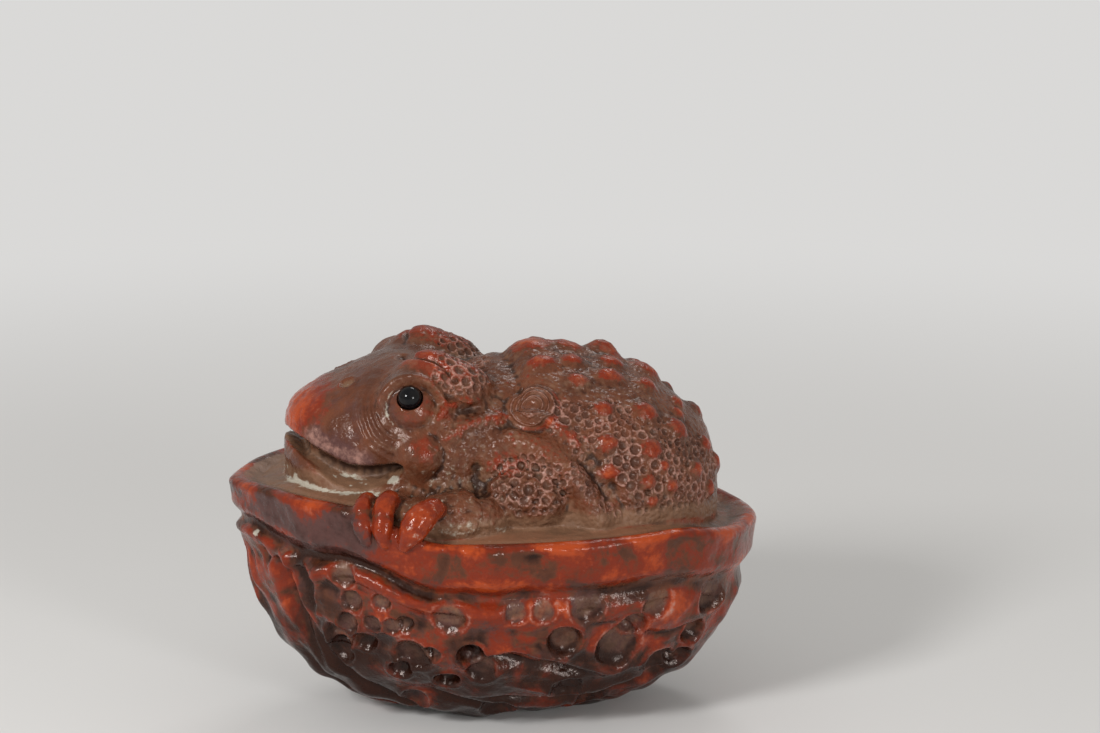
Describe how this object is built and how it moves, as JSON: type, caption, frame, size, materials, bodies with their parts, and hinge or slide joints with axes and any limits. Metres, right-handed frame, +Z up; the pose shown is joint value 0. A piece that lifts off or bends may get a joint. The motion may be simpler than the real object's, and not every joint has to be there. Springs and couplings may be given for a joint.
{
  "type": "tea pet",
  "caption": "Hollow red clay toad resting in half a walnut, with inlaid black bead eyes, a flat rubbed under the shell and a small vent hole.",
  "frame": {"origin": "middle of the flat rubbed on the round bottom of the shell", "axes": "the toad faces -X, its right side faces +Y, and +Z is up"},
  "size_m": [0.1016, 0.0722, 0.0727],
  "materials": {
    "clay": "unglazed red clay with a worn, tea-stained polish",
    "bead": "glossy black"
  },
  "bodies": {
    "root": {"clay_body": "clay", "eye_bead_left": "bead", "eye_bead_right": "bead"}
  },
  "joints": []
}
